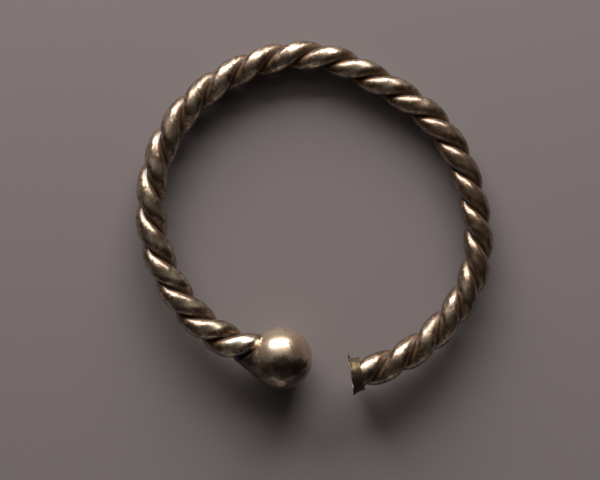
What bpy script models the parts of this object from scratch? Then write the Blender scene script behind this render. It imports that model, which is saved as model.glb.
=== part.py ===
"""Twisted arm ring: two stout rods twisted into an open hoop, with one ball terminal.

The ring is shaped in the plane of its hoop, with the hoop's centre at the origin, +X to the
right, +Z out of the hoop and the gap towards -Y. It is then laid down as it rests on a table,
on the ball and on the far side of the hoop. All lengths are in metres.
"""

import math

import bmesh
import bpy
import numpy as np
from mathutils import Matrix, Vector, geometry

# The hoop, as polar angles about its centre, counter-clockwise from +X
TORN_END = math.radians(-74.0)
BALL_ANGLE = math.radians(256.5)
# Distance of the rods' common axis from the centre, at even steps from the torn end to the
# ball. The hoop was bent by hand, so it bulges at two corners and is flatter between them.
BEND_RADII = (0.0394, 0.0404, 0.0409, 0.0385, 0.0374, 0.0366, 0.0395, 0.0403, 0.0408, 0.0401,
              0.0385, 0.0371, 0.0344)

# The twist: half turns of the pair of rods
TWIST_AT_ZERO = 5.6023
TWIST_PER_RADIAN = 4.5251
# (harmonic, half turns, phase): how unevenly the hand-made twist runs round the hoop
TWIST_WANDER = (
    (1, 0.240, math.radians(130.5)),
    (2, 0.148, math.radians(31.2)),
    (3, 0.073, math.radians(19.6)),
)
# Just before the ball the pair is twisted a little further
TIGHTER_FROM = math.radians(224.0)
TIGHTER_TO = math.radians(238.0)
TIGHTER_TWIST = 0.10
STATIONS_PER_TURN = 14

# Section of the twisted pair: each rod is hammered to a fat D, its flat against the other's.
# The pair's radius, at even steps from the torn end to the ball: stoutest at the two ends
ROPE_RADII = (0.0040, 0.0037, 0.0037, 0.0036, 0.0038, 0.0039, 0.0044)
# The D is round up to its shoulders, and from there it falls away into the groove by a share
# of the pair's radius
SHOULDER = math.radians(35.0)
GROOVE_SHARE = 0.51
GROOVE_CURVE = 2.2
LOBE_ANGLES = tuple(math.radians(angle) for angle in (-66, -50, -25, 0, 25, 50, 66))
CLEARANCE = 0.0003

# Ball terminal and its conical neck. The ball sits a little outside the line of the rods. The
# neck's mouth is cut aslant, nearer the ball on the hoop's inside, and a little off that line
BALL_RADIUS = 0.00757
BALL_OFFSET = 0.0006
MOUTH_SPACING = 0.0094
MOUTH_OFFSET = 0.0008
MOUTH_SLANT = math.radians(18.7)
MOUTH_RADIUS = 0.0043
ROD_OVERRUN = 0.0020
NECK_STEPS = 3
BALL_STEPS = 13
BALL_SIDES = 32
FLAT_CUT = 0.0001

# Torn neck of the lost ball: a thin trumpet of sheet with a ragged rim
SHEET = 0.0005
TORN_LENGTH = 0.0019
TORN_PROFILE = ((0.0, 0.00355), (0.35, 0.0038), (0.7, 0.00425), (1.0, 0.0048))
TORN_FLOOR = 0.0005
TORN_SIDES = 28
TORN_RAGGED = 0.0001
TORN_SLANT = 0.0004
SPIKE_HEIGHT = 0.0010
SPIKE_HALF_ANGLE = math.radians(20.0)

PATH_SAMPLES = 4000
REST_PASSES = 5
UP = Vector((0.0, 0.0, 1.0))

METALS = {
    "strand_1": ((0.58, 0.51, 0.41), 0.34),
    "strand_2": ((0.56, 0.48, 0.38), 0.36),
    "ball_terminal": ((0.54, 0.47, 0.38), 0.30),
    "torn_neck": ((0.42, 0.38, 0.25), 0.48),
}


# ---------------------------------------------------------------- the path of the twisted pair


def round_the_hoop(angle):
    """Share of the way from the torn end to the ball."""
    return (angle - TORN_END) / (BALL_ANGLE - TORN_END)


def bend_radius(angle):
    """Distance of the pair's axis from the hoop's centre: a smooth curve through BEND_RADII."""
    knots = np.array(BEND_RADII)
    ends = (2 * knots[0] - knots[1], 2 * knots[-1] - knots[-2])
    padded = np.concatenate([[ends[0]], knots, [ends[1]]])
    along = round_the_hoop(angle) * (len(knots) - 1)
    first = np.clip(np.floor(along).astype(int), 0, len(knots) - 2)
    part = along - first
    before, start, end, after = (padded[first + k] for k in range(4))
    slope = end - before
    bow = 2 * before - 5 * start + 4 * end - after
    swing = 3 * (start - end) + after - before
    return start + 0.5 * part * (slope + part * (bow + part * swing))


def half_turns(angle):
    """Twist of the pair at a polar angle. At whole numbers a groove faces +Z."""
    wander = sum(size * np.cos(order * angle - lead) for order, size, lead in TWIST_WANDER)
    ease = np.clip((angle - TIGHTER_FROM) / (TIGHTER_TO - TIGHTER_FROM), 0, 1)
    wander = wander + TIGHTER_TWIST * ease * ease * (3 - 2 * ease)
    return TWIST_AT_ZERO + TWIST_PER_RADIAN * angle + wander


def rope_radius(angle):
    return np.interp(round_the_hoop(angle), np.linspace(0, 1, len(ROPE_RADII)), ROPE_RADII)


def path_points(angle):
    radius = bend_radius(angle)
    return np.stack([radius * np.cos(angle), radius * np.sin(angle), 0 * angle], axis=-1)


class Path:
    """The pair's axis from the torn end into the ball's neck, with the twist along it."""

    def __init__(self):
        angles = np.linspace(TORN_END, BALL_ANGLE, PATH_SAMPLES)
        points = path_points(angles)
        self.ball_centre = points[-1] * (1 + BALL_OFFSET / BEND_RADII[-1])
        reach = np.linalg.norm(points - self.ball_centre, axis=1)
        rod = reach >= MOUTH_SPACING - ROD_OVERRUN
        self.points = points[rod]
        tangents = np.gradient(self.points, axis=0)
        self.tangents = tangents / np.linalg.norm(tangents, axis=1)[:, None]
        self.turns = half_turns(angles[rod])
        self.radii = rope_radius(angles[rod])
        mouth = np.argmin(abs(reach - MOUTH_SPACING))
        tangent = Vector(self.tangents[mouth])
        self.mouth_centre = Vector(points[mouth]) + UP.cross(tangent) * MOUTH_OFFSET
        self.mouth_normal = Matrix.Rotation(-MOUTH_SLANT, 3, UP) @ tangent

    def at(self, turns):
        """Point, unit tangent and pair's radius where the twist reaches the given half turns."""
        point, tangent = (
            np.array([np.interp(turns, self.turns, column) for column in table.T])
            for table in (self.points, self.tangents)
        )
        radius = np.interp(turns, self.turns, self.radii)
        return point, tangent / np.linalg.norm(tangent), radius

    def stations(self):
        """Twist values, evenly spaced from one end of the rods to the other."""
        first, last = self.turns[0], self.turns[-1]
        count = round((last - first) / 2 * STATIONS_PER_TURN) + 1
        return np.linspace(first, last, count)


# ---------------------------------------------------------------- building solids from rings


def strand_section(radius):
    """One rod's D section: (towards its crest, across), from one corner round to the other,
    then the middle of its flat."""
    flat = CLEARANCE / 2
    corner = math.acos(flat / lobe_radius(radius, math.pi / 2))
    outline = []
    for angle in (-corner, *LOBE_ANGLES, corner):
        reach = lobe_radius(radius, angle)
        outline.append((reach * math.cos(angle), reach * math.sin(angle)))
    outline[0] = (flat, outline[0][1])
    outline[-1] = (flat, outline[-1][1])
    return outline + [(flat, 0.0)]


def lobe_radius(radius, angle):
    """Outside of the twisted pair, at an angle from one rod's crest."""
    past_shoulder = max(0.0, abs(angle) - SHOULDER) / (math.pi / 2 - SHOULDER)
    return radius * (1 - GROOVE_SHARE * past_shoulder**GROOVE_CURVE)


def circle(centre, normal, radius, sides):
    """Points round a circle, starting from its highest side."""
    normal = Vector(normal).normalized()
    top = (UP - normal * UP.dot(normal)).normalized()
    side = normal.cross(top)
    angles = [2 * math.pi * k / sides for k in range(sides)]
    return [Vector(centre) + radius * (math.cos(a) * top + math.sin(a) * side) for a in angles]


def solid_from_rings(rings):
    """Closes a run of rings of points into one solid. A ring of one point ends it in a fan,
    and any other end ring is closed flat."""
    mesh = bmesh.new()
    loops = [[mesh.verts.new(point) for point in ring] for ring in rings]
    for lower, upper in zip(loops, loops[1:]):
        join_loops(mesh, lower, upper)
    for end in (loops[0], loops[-1]):
        if len(end) > 1:
            mesh.faces.new(end)
    bmesh.ops.recalc_face_normals(mesh, faces=mesh.faces)
    return mesh


def slice_off(mesh, point, outward, reach):
    """Cuts away what lies beyond a plane, as far as the given reach from its point, and
    closes the cut flat."""
    verts = {vert for vert in mesh.verts if (vert.co - point).length < reach}
    edges = [edge for edge in mesh.edges if verts.issuperset(edge.verts)]
    faces = [face for face in mesh.faces if verts.issuperset(face.verts)]
    parts = [*verts, *edges, *faces]
    cut = bmesh.ops.bisect_plane(
        mesh, geom=parts, dist=1e-7, plane_co=point, plane_no=outward, clear_outer=True
    )
    edges = [part for part in cut["geom_cut"] if isinstance(part, bmesh.types.BMEdge)]
    bmesh.ops.edgeloop_fill(mesh, edges=edges)
    bmesh.ops.recalc_face_normals(mesh, faces=mesh.faces)


def join_loops(mesh, lower, upper):
    """Triangles between two loops. Each square is cut so that the half on either side of the
    last corner mirrors the other, which keeps the flats of the two rods parallel."""
    count = max(len(lower), len(upper))
    if 1 in (len(lower), len(upper)):
        rim, tip = (lower, upper[0]) if len(upper) == 1 else (upper, lower[0])
        for k in range(count):
            mesh.faces.new((rim[k], rim[(k + 1) % count], tip))
        return
    for k in range(count):
        a, b = k, (k + 1) % count
        if k == count - 1:
            mesh.faces.new((lower[a], lower[b], upper[b]))
            mesh.faces.new((lower[a], upper[b], upper[a]))
        else:
            mesh.faces.new((lower[a], lower[b], upper[a]))
            mesh.faces.new((lower[b], upper[b], upper[a]))


def new_object(name, mesh):
    data = bpy.data.meshes.new(name)
    mesh.to_mesh(data)
    mesh.free()
    data.shade_smooth()
    data.set_sharp_from_angle(angle=math.radians(50.0))
    data.materials.append(metal(name))
    obj = bpy.data.objects.new(name, data)
    bpy.context.scene.collection.objects.link(obj)
    return obj


def metal(name):
    colour, roughness = METALS[name]
    material = bpy.data.materials.new(name)
    material.use_nodes = True
    shader = material.node_tree.nodes["Principled BSDF"]
    shader.inputs["Base Color"].default_value = (*colour, 1.0)
    shader.inputs["Metallic"].default_value = 1.0
    shader.inputs["Roughness"].default_value = roughness
    material.diffuse_color = (*colour, 1.0)
    return material


# ---------------------------------------------------------------- the four pieces


def build_strand(path, index):
    """One of the two rods, wound round the pair's axis half a turn from the other."""
    rings = []
    for turns in path.stations():
        centre, tangent, radius = path.at(turns)
        outward = np.cross(tangent, UP)
        crest = math.pi * (turns + index)
        towards = math.cos(crest) * outward + math.sin(crest) * np.array(UP)
        across = np.cross(towards, tangent)
        section = strand_section(radius)
        rings.append([centre + u * towards + v * across for u, v in section])
    rod = solid_from_rings(rings)
    cut_at = path.mouth_centre - path.mouth_normal * CLEARANCE
    slice_off(rod, cut_at, path.mouth_normal, 2 * BALL_RADIUS)
    return new_object(f"strand_{index + 1}", rod)


def build_ball(path):
    """The ball and its neck. Each line of the neck runs straight from the slanting mouth to
    where it touches the ball, then on round the ball to the far side."""
    centre = Vector(path.ball_centre)
    axis = (centre - path.mouth_centre).normalized()
    length = (centre - path.mouth_centre).length
    normal = path.mouth_normal
    rings = [[] for _ in range(NECK_STEPS + BALL_STEPS)]
    for out in circle(Vector(), axis, 1.0, BALL_SIDES):
        behind = length + MOUTH_RADIUS * out.dot(normal) / axis.dot(normal)
        slope = math.atan2(MOUTH_RADIUS, behind)
        touch = slope + math.acos(BALL_RADIUS / math.hypot(MOUTH_RADIUS, behind))
        lip = centre - axis * behind + out * MOUTH_RADIUS
        touching = on_ball(centre, axis, out, touch)
        for step in range(NECK_STEPS):
            rings[step].append(lip.lerp(touching, step / NECK_STEPS))
        for step in range(BALL_STEPS):
            polar = touch + (math.pi - touch) * step / BALL_STEPS
            rings[NECK_STEPS + step].append(on_ball(centre, axis, out, polar))
    rings.append([centre + axis * BALL_RADIUS])
    return new_object("ball_terminal", solid_from_rings(rings))


def on_ball(centre, axis, out, polar):
    """A point of the ball, at an angle from the middle of its neck."""
    return centre + BALL_RADIUS * (math.sin(polar) * out - math.cos(polar) * axis)


def torn_edge(around):
    """How far the torn rim reaches past the even one. The hoop's inside is at a quarter turn."""
    ragged = TORN_RAGGED * (math.sin(3 * around + 0.6) + 0.6 * math.sin(7 * around + 2.0))
    return ragged - TORN_SLANT * math.sin(around)


def spike(around):
    """How far the thin spike on the hoop's inside stands out from the rim."""
    away = abs(math.remainder(around - math.pi / 2, 2 * math.pi))
    return SPIKE_HEIGHT * max(0.0, 1 - away / SPIKE_HALF_ANGLE)


def build_torn_neck(path):
    """A shallow trumpet of sheet on the rods' end, with the tear all round its mouth."""
    axis = -Vector(path.tangents[0])
    base = Vector(path.points[0]) + axis * CLEARANCE
    rings = [[base]]
    for along, radius in TORN_PROFILE:
        rings.append(torn_ring(base, axis, along, radius))
    for along, radius in reversed(TORN_PROFILE[1:]):
        rings.append(torn_ring(base, axis, along, radius - SHEET))
    rings.append([base + axis * TORN_FLOOR])
    return new_object("torn_neck", solid_from_rings(rings))


def torn_ring(base, axis, along, radius):
    """One ring of the trumpet, at a share of its length, torn and spiked where the rim is."""
    middle = base + axis * TORN_LENGTH * along
    even = circle(middle, axis, radius, TORN_SIDES)
    if along < 1.0:
        return even
    ring = []
    for k, point in enumerate(even):
        around = 2 * math.pi * k / TORN_SIDES
        outward = (point - middle).normalized()
        ring.append(point + axis * torn_edge(around) + outward * spike(around))
    return ring


# ---------------------------------------------------------------- laying the ring down


def resting_up(points, mass_centre, ball_centre):
    """The direction that points up when the ring lies still, found from the face of its
    convex hull that its centre of mass stands over."""
    up = UP.copy()
    for _ in range(REST_PASSES):
        foot = ball_centre - up * (BALL_RADIUS - FLAT_CUT)
        hull = bmesh.new()
        for point in [*points, foot]:
            hull.verts.new(point)
        bmesh.ops.convex_hull(hull, input=hull.verts)
        hull.normal_update()
        for face in hull.faces:
            corners = [vert.co for vert in face.verts]
            below = face.normal.dot(up) < -0.9
            if below and geometry.intersect_point_tri(mass_centre, *corners):
                up = -face.normal.copy()
                break
        hull.free()
    return up


def mass_centre_of(objects):
    """Centre of the volume of closed meshes."""
    total, moment = 0.0, Vector((0.0, 0.0, 0.0))
    for obj in objects:
        obj.data.calc_loop_triangles()
        verts = [vert.co for vert in obj.data.vertices]
        for triangle in obj.data.loop_triangles:
            a, b, c = (verts[k] for k in triangle.vertices)
            volume = a.dot(b.cross(c)) / 6
            total += volume
            moment += volume * (a + b + c) / 4
    return moment / total


def cut_flat_spot(ball, centre, up):
    """Takes a thin slice off the ball's underside, so that it stands on a small flat."""
    mesh = bmesh.new()
    mesh.from_mesh(ball.data)
    slice_off(mesh, centre - up * (BALL_RADIUS - FLAT_CUT), -up, 2 * BALL_RADIUS)
    mesh.to_mesh(ball.data)
    mesh.free()
    ball.data.shade_smooth()
    ball.data.set_sharp_from_angle(angle=math.radians(25.0))


def lay_down(pieces, up):
    """Parents the pieces to an empty that turns them to rest, with the origin under the
    middle of their box."""
    turn = up.rotation_difference(UP).to_matrix().to_4x4()
    corners = [turn @ vert.co for piece in pieces for vert in piece.data.vertices]
    low = Vector([min(corner[k] for corner in corners) for k in range(3)])
    high = Vector([max(corner[k] for corner in corners) for k in range(3)])
    middle = (low + high) / 2
    rest = bpy.data.objects.new("arm_ring", None)
    bpy.context.scene.collection.objects.link(rest)
    rest.matrix_world = Matrix.Translation((-middle.x, -middle.y, -low.z)) @ turn
    for piece in pieces:
        piece.parent = rest
    bpy.context.view_layer.update()


def main():
    for obj in list(bpy.data.objects):
        bpy.data.objects.remove(obj)
    path = Path()
    strands = [build_strand(path, index) for index in range(2)]
    ball = build_ball(path)
    torn = build_torn_neck(path)
    ball_centre = Vector(path.ball_centre)
    hoop_points = [vert.co for piece in (*strands, torn) for vert in piece.data.vertices]
    up = resting_up(hoop_points, mass_centre_of([*strands, ball, torn]), ball_centre)
    cut_flat_spot(ball, ball_centre, up)
    lay_down([*strands, ball, torn], up)


main()
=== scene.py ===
# %% [markdown]
# # A twisted arm ring
#
# The object is an open arm ring: two stout silver rods twisted round each other like a rope
# and bent into a hoop. One end carries a hollow ball on a conical neck. The ball of the other
# end is lost, and only the torn mouth of its neck is left.
#
# The solids of the ring are already made. This first cell loads them as a fixed
# frame, so that everything made later can be placed by measuring them.

# %% Load the frame
import math

import bmesh
import bpy
import numpy as np
from mathutils import Matrix, Vector, noise


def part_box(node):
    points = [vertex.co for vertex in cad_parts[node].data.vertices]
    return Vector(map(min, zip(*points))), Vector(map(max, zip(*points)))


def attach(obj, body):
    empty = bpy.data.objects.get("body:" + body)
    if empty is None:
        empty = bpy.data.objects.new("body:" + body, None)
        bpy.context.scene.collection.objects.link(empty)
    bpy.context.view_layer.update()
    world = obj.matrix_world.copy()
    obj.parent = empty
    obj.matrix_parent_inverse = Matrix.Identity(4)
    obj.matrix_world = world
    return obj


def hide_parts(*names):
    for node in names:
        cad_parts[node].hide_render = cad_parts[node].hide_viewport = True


def in_mm(lengths, digits=2):
    """Lengths in metres as rounded millimetres, for printing."""
    return [round(1000 * length, digits) for length in lengths]


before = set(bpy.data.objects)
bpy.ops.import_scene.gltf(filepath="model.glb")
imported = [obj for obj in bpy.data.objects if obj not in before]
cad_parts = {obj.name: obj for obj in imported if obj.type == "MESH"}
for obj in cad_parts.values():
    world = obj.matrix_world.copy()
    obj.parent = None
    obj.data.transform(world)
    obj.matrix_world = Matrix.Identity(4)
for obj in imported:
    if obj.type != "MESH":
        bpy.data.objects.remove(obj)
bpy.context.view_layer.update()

# %% [markdown]
# ## Where the hoop lies
#
# The ring does not lie quite flat: the ball is thicker than the rods, so the hoop leans on it.
# Shaping a hoop is much easier in its own flat plane, so the pieces are made there and carried
# to the table by one matrix at the end.
#
# Typed angles would be wrong as soon as a size changed, so the plane is measured. The direction
# in which the rods' points spread least is the hoop's normal, and a singular value
# decomposition gives exactly that direction. The ball then pins the hoop down, because its
# centre is one radius inside the right, the front and the top face of its box.

# %% Measure the plane of the hoop
UP = Vector((0.0, 0.0, 1.0))
BALL_RADIUS = 0.00757

rod_points = np.array(
    [vert.co for name in ("strand_1", "strand_2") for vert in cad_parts[name].data.vertices]
)
directions = np.linalg.svd(rod_points - rod_points.mean(axis=0), full_matrices=False)[2]
least_spread = directions[2]
hoop_normal = Vector(least_spread * math.copysign(1.0, least_spread[2]))
lean = UP.rotation_difference(hoop_normal).to_matrix()

ball_low, ball_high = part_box("ball_terminal")
ball_at = Vector((ball_high.x, ball_low.y, ball_high.z)) + BALL_RADIUS * Vector((-1, 1, -1))
print("the hoop leans by", round(math.degrees(hoop_normal.angle(UP)), 2), "degrees")
print("ball centre in mm", in_mm(ball_at))

# %% [markdown]
# ## The line that the rope follows
#
# A hoop bent by hand is no circle: this one bulges at two corners and is flatter between them.
# Its axis is written as a distance from the centre for each direction, with a smooth curve
# drawn through a few measured distances. Directions are angles about the hoop's centre,
# counter-clockwise from the right.

# %% The rope's axis
TORN_END = math.radians(-74.0)
BALL_ANGLE = math.radians(256.5)
# Distances from the centre, at even steps from the torn end to the ball
BEND_RADII = (0.0394, 0.0404, 0.0409, 0.0385, 0.0374, 0.0366, 0.0395, 0.0403, 0.0408, 0.0401,
              0.0385, 0.0371, 0.0344)
AXIS_SAMPLES = 4000


def round_the_hoop(angle):
    """Share of the way from the torn end to the ball."""
    return (angle - TORN_END) / (BALL_ANGLE - TORN_END)


def bend_radius(angle):
    """Smooth curve through BEND_RADII, by the Catmull-Rom rule."""
    knots = np.array(BEND_RADII)
    padded = np.concatenate([[2 * knots[0] - knots[1]], knots, [2 * knots[-1] - knots[-2]]])
    along = round_the_hoop(angle) * (len(knots) - 1)
    first = np.clip(np.floor(along).astype(int), 0, len(knots) - 2)
    part = along - first
    before, start, end, after = (padded[first + k] for k in range(4))
    bow = 2 * before - 5 * start + 4 * end - after
    swing = 3 * (start - end) + after - before
    return start + 0.5 * part * (end - before + part * (bow + part * swing))


def lengths_along(points):
    """The distance from the first point to each point, along the line that they make."""
    steps = np.linalg.norm(np.diff(points, axis=0), axis=1)
    return np.concatenate([[0], np.cumsum(steps)])


hoop_angles = np.linspace(TORN_END, BALL_ANGLE, AXIS_SAMPLES)
radii = bend_radius(hoop_angles)
axis_points = np.stack(
    [radii * np.cos(hoop_angles), radii * np.sin(hoop_angles), 0 * radii], axis=-1
)
print("rope length in mm", in_mm([lengths_along(axis_points)[-1]], 1))

# %% [markdown]
# The twist is uneven too. It was made by hand, so it is a steady rate plus three slow waves
# round the hoop, and it is a little tighter just before the ball. One half turn of the pair
# brings the other rod on top.

# %% The rope's twist
TWIST_AT_ZERO = 5.6023
TWIST_PER_RADIAN = 4.5251
# (waves round the hoop, half turns, lead)
TWIST_WANDER = (
    (1, 0.165, math.radians(106.0)),
    (2, 0.148, math.radians(31.2)),
    (3, 0.073, math.radians(19.6)),
)
TIGHTER_FROM = math.radians(224.0)
TIGHTER_TO = math.radians(238.0)
TIGHTER_TWIST = 0.10


def half_turns(angle):
    """How many half turns the pair has made at a direction of the hoop."""
    wander = sum(size * np.cos(order * angle - lead) for order, size, lead in TWIST_WANDER)
    ease = np.clip((angle - TIGHTER_FROM) / (TIGHTER_TO - TIGHTER_FROM), 0, 1)
    wander = wander + TIGHTER_TWIST * ease * ease * (3 - 2 * ease)
    return TWIST_AT_ZERO + TWIST_PER_RADIAN * angle + wander


print("half turns in all", round(float(half_turns(BALL_ANGLE) - half_turns(TORN_END)), 2))

# %% [markdown]
# The ball sits a little outside the rope's line. The matrix that carries the hoop to the table
# turns it by the lean, and then moves it so that its ball lands on the measured one.

# %% From the hoop to the table
BALL_OFFSET = 0.0006

ball_in_hoop = Vector(axis_points[-1] * (1 + BALL_OFFSET / BEND_RADII[-1]))
from_ball = np.linalg.norm(axis_points - np.array(ball_in_hoop), axis=1)
to_table = Matrix.Translation(ball_at - lean @ ball_in_hoop) @ lean.to_4x4()
print("hoop centre in mm", in_mm(to_table.translation))

# %% [markdown]
# ## The camera
#
# The camera looks straight down the hoop's own normal, so that the hoop is seen square on. A
# long lens from half a metre away keeps the near ball from looking larger than it is. The aim
# is shifted a little, so that the hoop stands right of and above the middle of the frame.

# %% Place the camera
LENS_MM = 120.0
VIEW_WIDTH = 0.1458
HOOP_OFFSET = (0.0036, 0.0053)


def add_object(name, data):
    """A new object at the origin, in the scene."""
    added = bpy.data.objects.new(name, data)
    bpy.context.scene.collection.objects.link(added)
    return added


camera_data = bpy.data.cameras.new("table camera")
camera_data.lens = LENS_MM
camera_distance = VIEW_WIDTH * LENS_MM / camera_data.sensor_width
camera = add_object("table camera", camera_data)
camera.matrix_world = to_table @ Matrix.Translation(
    (-HOOP_OFFSET[0], -HOOP_OFFSET[1], camera_distance)
)
bpy.context.scene.camera = camera
print("camera is", round(camera_distance * 1000), "mm above the hoop")

# %% [markdown]
# ## Helpers for wiring nodes
#
# Both Geometry Nodes and materials are graphs of nodes. A few short helpers make the graphs
# below read like lists of ingredients.

# %% Node helpers
def is_socket(value):
    return isinstance(value, bpy.types.NodeSocket)


def fill_inputs(node, inputs):
    """Links or sets a node's inputs."""
    for key, value in inputs.items():
        if is_socket(value):
            node.id_data.links.new(value, node.inputs[key])
        else:
            node.inputs[key].default_value = value


def add_node(tree, kind, inputs=None, **options):
    """A new node, with its options set and its inputs filled."""
    node = tree.nodes.new(kind)
    for option, value in options.items():
        setattr(node, option, value)
    fill_inputs(node, inputs or {})
    return node


def result(tree, kind, inputs=None, output=0, **options):
    """One output of a new node, usually the first."""
    return add_node(tree, kind, inputs, **options).outputs[output]


def calc(operation, *values):
    """The result of a math node, in the tree that its linked values are in."""
    tree = next(value for value in values if is_socket(value)).id_data
    return result(tree, "ShaderNodeMath", dict(enumerate(values)), operation=operation)


def vectors(operation, inputs, output="Vector"):
    """The result of a vector math node."""
    return result(inputs[0].id_data, "ShaderNodeVectorMath", inputs, output, operation=operation)


def smooth_step(value, start, end, low=0.0, high=1.0):
    """Goes smoothly from low to high while a value goes from start to end."""
    return result(value.id_data, "ShaderNodeMapRange", {
        "Value": value, "From Min": start, "From Max": end, "To Min": low, "To Max": high,
    }, interpolation_type="SMOOTHSTEP")


def seeded_noise(seed, **inputs):
    """A soft noise from 0 to 1. The fourth dimension, W, is its seed."""
    inputs["W"] = seed
    return result(seed.id_data, "ShaderNodeTexNoise", inputs, noise_dimensions="4D")


# %% [markdown]
# Each effect below is a group, a graph of its own with named inputs. A number in the list of
# inputs is a value with that default, and a word is the kind of an input that has none.

# %% Group helpers
def add_socket(tree, in_out, name, given):
    kind = given if isinstance(given, str) else type(given).__name__.title()
    socket = tree.interface.new_socket(name, in_out=in_out, socket_type="NodeSocket" + kind)
    if kind != given:
        socket.default_value = given


def new_group(name, kind, inputs):
    """A group with its inputs, and the sockets that carry them inside it."""
    tree = bpy.data.node_groups.new(name, kind)
    for socket_name, given in inputs.items():
        add_socket(tree, "INPUT", socket_name, given)
    return tree, add_node(tree, "NodeGroupInput").outputs


def close_group(tree, kind, outputs):
    """Makes a group's outputs and links them to their values."""
    for name in outputs:
        add_socket(tree, "OUTPUT", name, kind)
    add_node(tree, "NodeGroupOutput", outputs)
    print("group", tree.name, "with", len(tree.nodes), "nodes")
    return tree


# %% [markdown]
# ## Old silver, in layers
#
# Silver that has lain in the ground is no single colour. The worn crests are pale and bright, a
# thin brown film covers much of the rest, olive stains sit in hollows, and the grooves hold a
# dark brown crust with a rusty edge. Noise patterns draw all that without a painted image, need
# no flat layout of the surface, and stay sharp at any distance.
#
# Three effects serve every finish, so each is a node group. The first turns a noise of a given
# size into a soft-edged mask. Its coverage is the share of the surface that the patches take,
# so it is spread over the range in which nearly all of a noise lies.

# %% Stain patches
NOISE_LOW, NOISE_HIGH = 0.18, 0.82

tree, given = new_group("Stain patches", "ShaderNodeTree", {
    "Vector": "Vector", "Size": 0.003, "Seed": 0.0, "Coverage": 0.5, "Softness": 0.1,
})
scale = calc("DIVIDE", 1.0, given["Size"])
cloud = seeded_noise(given["Seed"], Vector=given["Vector"], Scale=scale, Detail=4.0, Roughness=0.62)
covered = calc("MULTIPLY", given["Coverage"], NOISE_HIGH - NOISE_LOW)
middle = calc("SUBTRACT", NOISE_HIGH, covered)
start = calc("SUBTRACT", middle, given["Softness"])
end = calc("ADD", middle, given["Softness"])
PATCHES = close_group(tree, "Float", {"Mask": smooth_step(cloud, start, end)})

# %% [markdown]
# The second gives a height of shallow dents, pits and fine scratches, which a Bump node then
# turns into tiny dents in the light. The scratches are a noise drawn out in one direction. The
# mask of the pits comes out as well, because dirt stays in them.

# %% Wear marks
DENTS_PER_METRE = 700.0
PITS_PER_METRE = 900.0
# Where a pit starts and where it is deepest, as distances from the middle of its cell
PIT_RIM, PIT_FLOOR = 0.20, 0.06
SCRATCH_TURN = (0.3, 0.2, 0.9)
SCRATCHES_PER_METRE = (5200.0, 420.0, 900.0)

tree, given = new_group("Wear marks", "ShaderNodeTree", {
    "Vector": "Vector", "Seed": 0.0, "Dents": 1.0, "Pits": 1.0, "Scratches": 1.0,
})
place = given["Vector"]
seed = given["Seed"]
dents = seeded_noise(seed, Vector=place, Scale=DENTS_PER_METRE, Detail=2.0)
cells = result(tree, "ShaderNodeTexVoronoi", {
    "Vector": place, "W": seed, "Scale": PITS_PER_METRE,
}, voronoi_dimensions="4D")
pit = smooth_step(cells, PIT_RIM, PIT_FLOOR)
drawn_out = result(tree, "ShaderNodeMapping", {
    "Vector": place, "Rotation": SCRATCH_TURN, "Scale": SCRATCHES_PER_METRE,
})
lines = seeded_noise(seed, Vector=drawn_out, Scale=1.0, Detail=3.0)
height = calc("MULTIPLY", dents, given["Dents"])
height = calc("SUBTRACT", height, calc("MULTIPLY", pit, given["Pits"]))
height = calc("ADD", height, calc("MULTIPLY", lines, given["Scratches"]))
MARKS = close_group(tree, "Float", {"Height": height, "Pit": pit})

# %% [markdown]
# The third is a mask round one point, for marks that belong to one place. A noise makes its
# edge ragged. Where a direction and a stretch are given, distances along that direction count
# for less, which draws the spot out into a streak.

# %% Ragged spots and streaks
EDGE_GRAINS_PER_METRE = 900.0

tree, given = new_group("Ragged spot", "ShaderNodeTree", {
    "Vector": "Vector", "Centre": "Vector", "Radius": 0.002, "Along": "Vector",
    "Stretch": 1.0, "Softness": 0.3, "Raggedness": 0.5, "Seed": 0.0,
})
offset = vectors("SUBTRACT", {0: given["Vector"], 1: given["Centre"]})
along = vectors("DOT_PRODUCT", {0: offset, 1: given["Along"]}, "Value")
squeeze = calc("SUBTRACT", 1.0, calc("DIVIDE", 1.0, given["Stretch"]))
shift = calc("MULTIPLY", along, squeeze)
pulled = vectors("SCALE", {0: given["Along"], "Scale": shift})
length = vectors("LENGTH", {0: vectors("SUBTRACT", {0: offset, 1: pulled})}, "Value")
away = calc("DIVIDE", length, given["Radius"])
cloud = seeded_noise(
    given["Seed"], Vector=given["Vector"], Scale=EDGE_GRAINS_PER_METRE, Detail=4.0,
    Roughness=0.65,
)
push = calc("MULTIPLY", calc("SUBTRACT", cloud, 0.5), given["Raggedness"])
ragged = calc("ADD", away, calc("MULTIPLY", push, 2.0))
outside = calc("ADD", 1.0, given["Softness"])
inside = calc("SUBTRACT", 1.0, given["Softness"])
SPOT = close_group(tree, "Float", {"Mask": smooth_step(ragged, outside, inside)})

# %% [markdown]
# Each finish starts from one plain Principled shader. The class below keeps its colour,
# roughness and metallic while layers are mixed over them, each a mask with values of its own.
# That is how real patina builds up, and each mask serves all three values.
#
# A thin clear coat lies over all of it, like the film of wax that handling and cleaning leave.
# It is the same all over a piece, so it is set on the shader itself.

# %% Layers of a finish
COAT_ROUGHNESS = 0.22
COAT_IOR = 1.7
BUMP_DEPTH = 0.0001
# A Mix node has sockets for each kind of value: (kind, first input, output)
MIX_NUMBERS = ("FLOAT", 2, 0)
MIX_COLOURS = ("RGBA", 6, 2)


def frayed(value, fray, amount):
    """A value with some of a noise added, so that a mask made from it has a frayed edge."""
    return calc("ADD", value, calc("MULTIPLY", fray, amount))


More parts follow.
